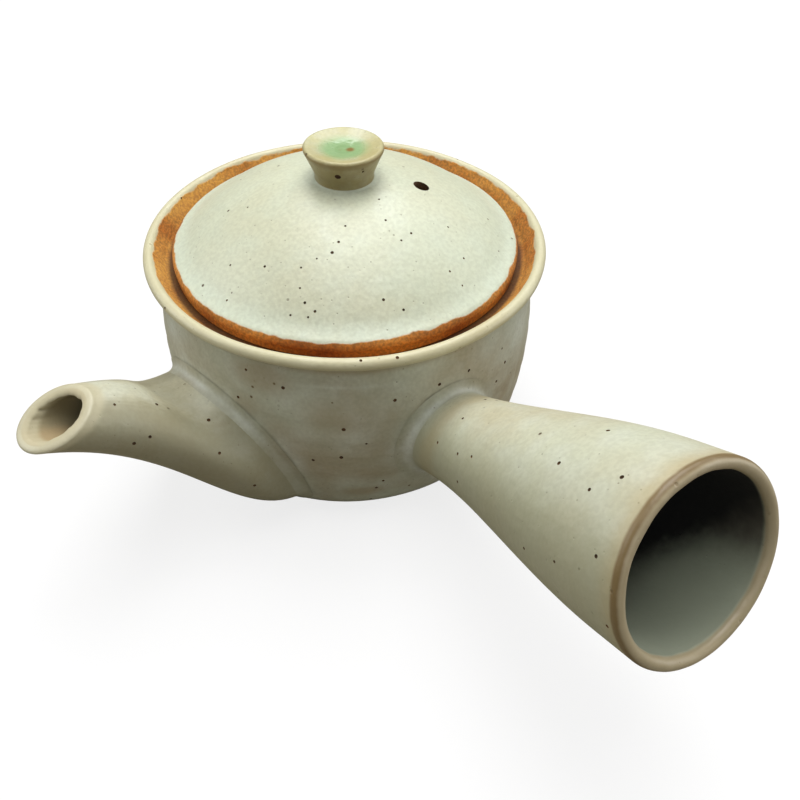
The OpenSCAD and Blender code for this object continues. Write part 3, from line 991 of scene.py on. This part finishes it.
def iron_specks(tree, scale, low, high, rarity):
    """Small dark spots in some of the cells of a scattered pattern"""
    coords = put(tree, "TexCoord").outputs["Object"]
    cells = put(tree, "TexVoronoi", {"Vector": coords, "Scale": scale})
    spot = span(tree, cells.outputs["Distance"], low, high, 1.0, 0.0)
    pick = put(tree, "SeparateColor", {"Color": cells.outputs["Color"]}).outputs["Red"]
    return times(tree, spot, span(tree, pick, rarity, rarity + 0.1))


def blend(tree, factor, a, b, how="MIX"):
    node = put(tree, "Mix", {0: factor, 6: a, 7: b}, data_type="RGBA", blend_type=how)
    return node.outputs[2]


def maths(tree, how, a, b, clamp=False):
    return put(tree, "Math", {0: a, 1: b}, operation=how, use_clamp=clamp).outputs[0]


def plus(tree, a, b, clamp=False):
    return maths(tree, "ADD", a, b, clamp)


def times(tree, a, b, clamp=False):
    return maths(tree, "MULTIPLY", a, b, clamp)


def new_group(name, ins, outs):
    """A node group, and the sockets inside it for its inputs and outputs"""
    tree = bpy.data.node_groups.new(name, "ShaderNodeTree")
    for side, sockets in (("INPUT", ins), ("OUTPUT", outs)):
        for socket, kind in sockets.items():
            tree.interface.new_socket(socket, in_out=side, socket_type=kind)
    return tree, tree.nodes.new("NodeGroupInput").outputs, tree.nodes.new("NodeGroupOutput").inputs


MOTTLE = 0.35
DUSTING = 0.16
DUST = (0.35, 0.33, 0.28, 1)
IRON = tint("54452f")
FINE_IRON = 0.45
SPECK_SINK = -0.8
ROUGH_PLAIN = 0.42
ROUGH_MOTTLED = 0.34


def make_glaze_group():
    """Satin ash glaze: clouded, mottled, dusted with fine iron and pooled pale where it runs together"""
    ins = {"Base": COLOUR, "Warm": COLOUR, "Pale": COLOUR, "Pooled": VALUE, "Warmth": VALUE}
    tree, given, result = new_group("ash_glaze", ins, SURFACE)
    drift = spots(tree, 30, 3, 0.38, 0.66)
    colour = blend(tree, times(tree, drift, given["Warmth"]), given["Base"], given["Warm"])
    mottle = spots(tree, 140, 5, 0.40, 0.72)
    colour = blend(tree, times(tree, mottle, MOTTLE), colour, given["Pale"])
    pool_noise = spots(tree, 220, 3, 0.25, 0.75)
    pool = times(tree, given["Pooled"], plus(tree, times(tree, pool_noise, 0.5), 0.5), True)
    colour = blend(tree, pool, colour, given["Pale"])
    dust = blend(tree, spots(tree, 1100, 2, 0.30, 0.70), DUST, WHITE)
    colour = blend(tree, DUSTING, colour, dust, "MULTIPLY")
    iron = iron_specks(tree, 230, 0.055, 0.105, 0.72)
    fine = iron_specks(tree, 620, 0.05, 0.16, 0.62)
    specks = maths(tree, "MAXIMUM", iron, times(tree, fine, FINE_IRON))
    tree.links.new(blend(tree, specks, colour, IRON), result["Colour"])
    tree.links.new(span(tree, mottle, 0, 1, ROUGH_PLAIN, ROUGH_MOTTLED), result["Roughness"])
    tree.links.new(plus(tree, cloud(tree, 420, 2), times(tree, specks, SPECK_SINK)), result["Height"])
    return tree


SANDING = 0.45
SAND_DARK = tint("6b3a18")
SAND_PALE = tint("e8b47c")


def make_clay_group():
    """Bare fired clay: rust-orange, sandy, with darker toasted patches"""
    outs = {"Colour": COLOUR, "Height": VALUE}
    tree, given, result = new_group("bare_clay", {"Base": COLOUR, "Dark": COLOUR}, outs)
    colour = blend(tree, spots(tree, 60, 4, 0.35, 0.70), given["Base"], given["Dark"])
    sand = cloud(tree, 1500, 3)
    grains = blend(tree, span(tree, sand, 0.3, 0.7), SAND_DARK, SAND_PALE)
    tree.links.new(blend(tree, SANDING, colour, grains, "OVERLAY"), result["Colour"])
    tree.links.new(sand, result["Height"])
    return tree


glaze_group = make_glaze_group()
clay_group = make_clay_group()


def mask(tree, name):
    return put(tree, "Attribute", attribute_name=name).outputs["Fac"]


def clay_node(tree, base, dark):
    return put(tree, "Group", {"Base": tint(base), "Dark": tint(dark)}, node_tree=clay_group)


def new_material(name):
    material = bpy.data.materials.new(name)
    material.use_nodes = True
    return material, material.node_tree


RELIEF = 0.6


def dress(tree, colour, height, depth):
    """Gives the shader a colour, and a relief of a depth in metres"""
    shader = tree.nodes["Principled BSDF"].inputs
    relief = put(tree, "Bump", {"Height": height, "Distance": depth, "Strength": RELIEF})
    tree.links.new(colour, shader["Base Color"])
    tree.links.new(relief.outputs["Normal"], shader["Normal"])
    return shader


GLAZE_RELIEF = 0.00025
PALE = "d2d7ca"
RAGGED = 0.6
GLASSY_ROUGH = -0.24
DRY_ROUGH = 0.5
OPEN_CLAY_ROUGH = 0.45
SEAT_SHADOW = tint("3a1f0c")
SEAT_SHADOW_SHARE = 0.85


def glazed_material(name, glaze, layers=(), bare=None, painted_shadow=None, glassy=None, dry=None, pooled=True):
    """Glaze over clay; each layer is a mask, where it starts and is full, its share and its colour"""
    material, tree = new_material(name)
    inputs = {"Pale": PALE, **glaze}
    inputs = {key: tint(value) if isinstance(value, str) else value for key, value in inputs.items()}
    if pooled:
        inputs["Pooled"] = mask(tree, "pooled")
    skin = put(tree, "Group", inputs, node_tree=glaze_group)
    colour, rough, height = (skin.outputs[key] for key in SURFACE)
    ragged = cloud(tree, 330, 4)
    stray = times(tree, plus(tree, ragged, -0.5), RAGGED)
    for layer, start, full, share, code in layers:
        kept = mask(tree, layer)
        worn = plus(tree, kept, times(tree, stray, kept))
        colour = blend(tree, span(tree, worn, start, full, 0.0, share), colour, tint(code))
    if glassy:
        rough = plus(tree, rough, times(tree, mask(tree, glassy), GLASSY_ROUGH))
    if dry:
        rough = plus(tree, rough, times(tree, mask(tree, dry), DRY_ROUGH), True)
    if bare:
        clay = clay_node(tree, *bare).outputs
        line = plus(tree, mask(tree, "bare"), times(tree, ragged, 0.5))
        open_clay = span(tree, line, 0.66, 0.82)
        colour = blend(tree, open_clay, colour, clay["Colour"])
        rough = plus(tree, rough, times(tree, open_clay, OPEN_CLAY_ROUGH), True)
        height = plus(tree, height, times(tree, open_clay, clay["Height"]))
    # Painted shadow: a dark brown where its mask says, as in the gap under the lid's edge
    if painted_shadow:
        colour = blend(tree, times(tree, mask(tree, painted_shadow), SEAT_SHADOW_SHARE), colour, SEAT_SHADOW)
    shader = dress(tree, colour, height, GLAZE_RELIEF)
    tree.links.new(rough, shader["Roughness"])
    return material


CLAY_RELIEF = 0.0002
CLAY_ROUGH = 0.85


def plain_clay(name, base, dark):
    """Bare clay all over, for the strainer and the pits"""
    material, tree = new_material(name)
    clay = clay_node(tree, base, dark).outputs
    shader = dress(tree, clay["Colour"], clay["Height"], CLAY_RELIEF)
    shader["Roughness"].default_value = CLAY_ROUGH
    return material


# The pieces, each in its place on its body

SMOOTH_ANGLE = radians(38)
POT_STEPS = 192
KNOB_STEPS = 96
ROD_SIDES = 48


def finish_piece(piece, body, node, slot, **masks):
    """Paints a piece's masks, softens its shape and puts it on its body"""
    paint(piece, masks)
    soften(piece)
    make_active(piece)
    bpy.ops.object.shade_smooth_by_angle(angle=SMOOTH_ANGLE)
    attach(piece, body)
    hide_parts(node)


def cutter_rod(radius, start, out, length):
    """A round rod to cut a hole with, from a point along a direction"""
    turn = UP.rotation_difference(out).to_euler()
    middle = (start + out * (length / 2)) * MM
    return added(
        "rod", bpy.ops.mesh.primitive_cylinder_add, vertices=ROD_SIDES, radius=radius * MM,
        depth=length * MM, location=middle, rotation=turn,
    )


# Pinholes and iron pits that show: two numbers for the place, as the cuts below read them, and the radius
LID_PITS = (
    (23.7, 166, 0.22), (33.8, 190, 0.26), (30.8, 205, 0.32), (29.0, 221, 0.25), (18.1, 241, 0.28),
    (22.3, 237, 0.32), (24.9, 234, 0.4), (18.3, 271, 0.3), (23.6, 280, 0.3), (24.2, 272, 0.28),
    (33.8, 294, 0.26), (34.2, 284, 0.28), (37.6, 285, 0.24), (35.1, 254, 0.34), (37.5, 260, 0.32),
    (35.5, 226, 0.33), (36.8, 230, 0.33), (39.3, 198, 0.25), (12.3, 281, 0.26), (27.3, 302, 0.24),
    (35.1, 327, 0.23), (38.0, 222, 0.27), (37.9, 228, 0.25), (26.6, 227, 0.22), (33.0, 223, 0.24),
)
WALL_PITS = (
    (45.5, 223, 0.45), (39.1, 209, 0.4), (43.6, 266, 0.45), (42.6, 253, 0.45), (35.4, 239, 0.5),
    (26.1, 238, 0.5), (24.3, 230, 0.4), (24.5, 219, 0.36), (12.1, 248, 0.4), (47.6, 212, 0.34),
    (38.4, 292, 0.42), (34.6, 288, 0.42), (43.7, 276, 0.4), (30.6, 245, 0.3), (15.0, 250, 0.34),
    (33.0, 20, 0.42), (21.0, 48, 0.36), (40.2, 75, 0.4), (17.5, 112, 0.44), (29.0, 140, 0.36),
    (37.4, 330, 0.4), (14.2, 318, 0.36),
)
HANDLE_PITS = (
    (67.2, 77, 0.36), (65.2, 151, 0.34), (74.7, 150, 0.36), (80.4, 145, 0.34), (75.5, 177, 0.36),
    (107.9, 87, 0.4), (106.1, 121, 0.4), (119.8, 114, 0.4), (115.9, 127, 0.34), (103.3, 180, 0.34),
    (122.6, 154, 0.36), (118.8, 239, 0.6), (69.6, 116, 0.32), (113.1, 171, 0.3), (125.4, 188, 0.36),
    (88.0, 20, 0.38), (101.0, 340, 0.36), (74.0, 310, 0.4), (112.0, 290, 0.36),
)
SPOUT_PITS = (
    (0.07, 97, 0.36), (0.18, 67, 0.44), (0.70, 65, 0.4), (0.78, 9, 0.38), (0.82, 352, 0.42),
    (0.39, 32, 0.36), (0.27, 4, 0.4), (0.95, 272, 0.38), (0.93, 52, 0.32), (0.30, 170, 0.4),
    (0.60, 150, 0.36), (0.12, 200, 0.4),
)
RIM_PITS = (
    (76, 244, 0.34), (65, 253, 0.38), (20, 186, 0.34), (150, 128, 0.3), (70, 20, 0.34), (40, 95, 0.38),
)
KNOB_PITS = ((76.0, 231, 0.75), (76.9, 271, 0.38), (74.6, 60, 0.4), (77.2, 140, 0.34))


def round_axis(r, az, z):
    """A point at a distance from the pot's axis, a direction in degrees and a height"""
    az = radians(az)
    return Vector((r * cos(az), r * sin(az), z))


def lip_point(turn, az):
    turn = radians(turn)
    return round_axis(LIP_CX + LIP_R * cos(turn), az, LIP_CZ + LIP_R * sin(turn))


def knob_r(z):
    """About how far the knob's side lies from its axis at a height"""
    return KNOB_FOOT_R + (KNOB_R - KNOB_FOOT_R) * ((z - CROWN_Z) / KNOB_H) ** 1.5


def cut_pits(piece, places):
    """Cuts small round pits out of a piece, with dark clay in them"""
    bpy.ops.object.select_all(action="DESELECT")
    for i, (point, radius) in enumerate(places):
        bpy.ops.mesh.primitive_ico_sphere_add(subdivisions=2, radius=radius * MM, location=point * MM)
        if i == 0:
            cutter = bpy.context.active_object
            cutter.location = (0, 0, 0)
            cutter.data.transform(Matrix.Translation(point * MM))
            bpy.ops.object.mode_set(mode="EDIT")
    bpy.ops.object.mode_set(mode="OBJECT")
    cutter.data.materials.append(pit_clay)
    cut(piece, cutter)


pit_clay = plain_clay("pit_clay", "66543a", "43341f")

pot = turned("pot_thrown", pot_outline(), POT_STEPS)
pot.data.materials.append(glazed_material(
    "pot_glaze", {"Base": "b9bca7", "Warm": "a59679", "Warmth": 0.7},
    # The seat gets painted shadow, for the gap under the lid's edge
    bare=("cda956", "ac752c"), painted_shadow="seat",
    # The thin layer also holds painted shade in a band under the rim's roll
    layers=(("thin", 0.1, 0.95, 0.5, "9a8764"), ("lip", 0.05, 0.95, 0.65, "ccc39a")),
))
cut(pot, cutter_rod(PORT_R, SPOUT_OUT * (THROAT_R / 2) + UP * PORT_Z, SPOUT_OUT, RIM_R))
pits = [(round_axis(wall_r(z), az, z), radius) for z, az, radius in WALL_PITS]
pits += [(lip_point(turn, az), radius) for turn, az, radius in RIM_PITS]
cut_pits(pot, pits)
finish_piece(
    pot, "pot", "pot_body", "pot_glaze",
    bare=pot_bare, pooled=pot_pooled_and_highlit, thin=pot_thin, lip=pot_lip, seat=pot_seat_shadow,
)

spout = make_spout()
spout.data.materials.append(glazed_material(
    "spout_glaze", {"Base": "cacbb3", "Warm": "b3a787", "Warmth": 0.6}, dry="inside",
    layers=(
        # The far layer in the passage is painted shade
        ("inside", 0.3, 0.7, 1.0, "a08d69"), ("deep", 0.05, 0.9, 1.0, "140f09"),
        # This layer is thin glaze beyond the crease and painted shade on the spout's sides
        ("thin", 0.1, 0.95, 0.7, "8a8468"), ("edge", 0.2, 0.9, 0.75, "bdb698"),
    ),
))
cut_pits(spout, [(spout_skin(radians(turn), t), radius) for t, turn, radius in SPOUT_PITS])
finish_piece(
    spout, "pot", "spout", "spout_glaze",
    pooled=pooled_by_crease, inside=spout_inside, deep=spout_depth_shade, thin=spout_thin, edge=spout_edge,
)

seam_glaze = glazed_material(
    "seam_glaze", {"Base": "b9bca7", "Warm": "a59679", "Warmth": 0.6, "Pale": "dde3da"},
    layers=(("thin", 0.0, 1.0, 0.5, "8f8a6e"),),
)
spout_coil = make_spout_coil()
spout_coil.data.materials.append(seam_glaze)
finish_piece(
    spout_coil, "pot", "spout_luting_coil", "seam_glaze", pooled=pooled_by_crease, thin=spout_seam_thin,
)

handle = make_handle()
handle.data.materials.append(glazed_material(
    "handle_glaze", {"Base": "c4c7b0", "Warm": "b8aa88", "Warmth": 0.5}, dry="inside",
    layers=(
        # The layer on the sides and underside is painted shade
        ("flank", 0.0, 1.0, 0.75, "a09f82"), ("thin", 0.1, 0.95, 0.55, "ad9a6e"),
        ("lip", 0.2, 0.9, 0.6, "a6967a"), ("inside", 0.2, 0.8, 1.0, "8f9582"),
        # The upper and far-in layers are painted shade in the handle's hollow
        ("upper", 0.05, 0.95, 0.95, "4a463c"), ("deep", 0.0, 0.75, 1.0, "0b0a08"),
        ("edge", 0.3, 0.9, 0.9, "6f5a33"),
    ),
))
cut_pits(handle, [
    (handle_point(along, handle_r(along), radians(turn)), radius)
    for along, turn, radius in HANDLE_PITS
])
finish_piece(
    handle, "pot", "handle", "handle_glaze",
    pooled=pooled_by_crease, inside=handle_inside, deep=handle_depth_shade, thin=handle_thin,
    edge=handle_edge, flank=handle_flank, lip=handle_lip, upper=handle_upper_shade,
)

handle_coil = make_handle_coil()
handle_coil.data.materials.append(seam_glaze)
finish_piece(
    handle_coil, "pot", "handle_luting_coil", "seam_glaze",
    pooled=pooled_by_crease, thin=lambda point: HANDLE_SEAM_THIN,
)

lid = turned("lid_domed", lid_outline(), POT_STEPS)
lid.data.materials.append(glazed_material(
    "lid_glaze", {"Base": "cbd0b8", "Warm": "c3c0a2", "Warmth": 0.5, "Pale": "c8d0bc"},
    bare=("b98c42", "94601f"),
))
vent_rod = cutter_rod(VENT_R, round_axis(VENT_REACH, VENT_AZ, SEAT_Z), UP, KNOB_TOP_Z - SEAT_Z)
vent_rod.data.materials.append(pit_clay)
cut(lid, vent_rod)
cut_pits(lid, [(round_axis(r, az, dome_z(r)), radius) for r, az, radius in LID_PITS])
finish_piece(lid, "lid", "lid", "lid_glaze", bare=lid_bare, pooled=lid_pooled)

knob = turned("knob_dished", knob_outline(), KNOB_STEPS)
knob.data.materials.append(glazed_material(
    "knob_glaze", {"Base": "b9b585", "Warm": "a79966", "Warmth": 0.6}, pooled=False, glassy="pool",
    layers=(
        ("edge", 0.2, 0.95, 0.8, "7f6d40"), ("pool", 0.05, 0.95, 0.8, "80a874"),
        ("iron", 0.3, 0.85, 0.9, "83602f"),
    ),
))
cut_pits(knob, [(round_axis(knob_r(z), az, z), radius) for z, az, radius in KNOB_PITS])
finish_piece(knob, "lid", "lid_knob", "knob_glaze", pool=knob_pool, iron=knob_iron, edge=knob_edge)

# The pierced strainer keeps its solid and gets the bare clay
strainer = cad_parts["strainer"]
strainer.data.materials.clear()
strainer.data.materials.append(plain_clay("strainer_clay", "b98a5c", "8a5a34"))


# Camera, light and floor

def hung(name, data):
    thing = bpy.data.objects.new(name, data)
    bpy.context.scene.collection.objects.link(thing)
    return thing


def mixed(tree, factor, a, b):
    return put(tree, "MixShader", {0: factor, 1: a.outputs[0], 2: b.outputs[0]})


CAMERA_PLACE = Vector((-82.14, -151.91, 166.0)) * MM
CAMERA_AHEAD = Vector((0.3913, 0.5986, -0.6989)).normalized()
CAMERA_ROLL = radians(1.33)
FILM_W = 36
LENS = 36
NEAREST = 0.01


def add_camera():
    """The photograph's camera, which looks down on the pot past its handle"""
    level = CAMERA_AHEAD.cross(UP).normalized()
    over = level.cross(CAMERA_AHEAD)
    right = level * cos(CAMERA_ROLL) + over * sin(CAMERA_ROLL)
    top = over * cos(CAMERA_ROLL) - level * sin(CAMERA_ROLL)
    data = bpy.data.cameras.new("camera")
    data.sensor_width = FILM_W
    data.lens = LENS
    data.clip_start = NEAREST
    camera = hung("camera", data)
    turn = Matrix((right, top, -CAMERA_AHEAD)).transposed().to_4x4()
    camera.matrix_world = Matrix.Translation(CAMERA_PLACE) @ turn
    bpy.context.scene.camera = camera


VIEW_AHEAD = Vector((0.547, 0.837, 0))
LAMP_REACH = 0.9
LAMP_W = 0.6
LAMP_AIM = Vector((0, -20, 30)) * MM

# Lamps: name, turn to the left from straight behind the pot, lift above level, and power
LAMPS = (
    ("lamp_over", 180, 88, 4.0), ("lamp_behind", 0, 62, 5.5), ("lamp_behind_right", -45, 45, 1.6),
    ("lamp_right", -90, 18, 2.5), ("lamp_left", 90, 30, 3.0), ("lamp_front", 180, 35, 1.3),
)


def add_lamp(name, turn, lift, power):
    """A soft square lamp that faces the pot"""
    ahead = VIEW_AHEAD.copy()
    ahead.rotate(Euler((0, 0, radians(turn))))
    lift = radians(lift)
    place = (ahead * cos(lift) + UP * sin(lift)) * LAMP_REACH
    data = bpy.data.lights.new(name, "AREA")
    data.shape = "SQUARE"
    data.size = LAMP_W
    data.energy = power
    lamp = hung(name, data)
    lamp.location = place
    lamp.rotation_euler = (LAMP_AIM - place).to_track_quat("-Z", "Y").to_euler()


FLOOR_W = 6
FLOOR_GLOW = 0.78
FLOOR_DULL = (0.27, 0.24, 0.18, 1)
FLOOR_PALE = (0.9, 0.9, 0.9, 1)


def add_floor():
    """A pale floor that shows white to the camera and throws little light back up"""
    floor = added("floor", bpy.ops.mesh.primitive_plane_add, size=FLOOR_W)
    paper, tree = new_material("floor_paper")
    tree.nodes.clear()
    seen = put(tree, "LightPath").outputs["Is Camera Ray"]
    dull = put(tree, "BsdfDiffuse", {"Color": FLOOR_DULL})
    pale = put(tree, "BsdfDiffuse", {"Color": FLOOR_PALE})
    white = put(tree, "Emission", {"Color": WHITE, "Strength": 1.0})
    both = mixed(tree, seen, dull, mixed(tree, FLOOR_GLOW, pale, white))
    put(tree, "OutputMaterial", {"Surface": both.outputs[0]})
    floor.data.materials.append(paper)


FILL = {"Color": (1.0, 0.97, 0.9, 1), "Strength": 0.02}
SHEEN = {"Color": WHITE, "Strength": 0.15}
BACKDROP = {"Color": WHITE, "Strength": 1.0}


def add_world():
    """A dim warm fill, brighter in reflections and white to the camera"""
    world = bpy.data.worlds.new("studio")
    bpy.context.scene.world = world
    world.use_nodes = True
    tree = world.node_tree
    tree.nodes.clear()
    ray = put(tree, "LightPath")
    shown = put(tree, "Background", FILL)
    for kind, light in (("Is Glossy Ray", SHEEN), ("Is Camera Ray", BACKDROP)):
        shown = mixed(tree, ray.outputs[kind], shown, put(tree, "Background", light))
    put(tree, "OutputWorld", {"Surface": shown.outputs[0]})


add_camera()
for lamp_sizes in LAMPS:
    add_lamp(*lamp_sizes)
add_floor()
add_world()
bpy.context.scene.view_settings.view_transform = "Standard"
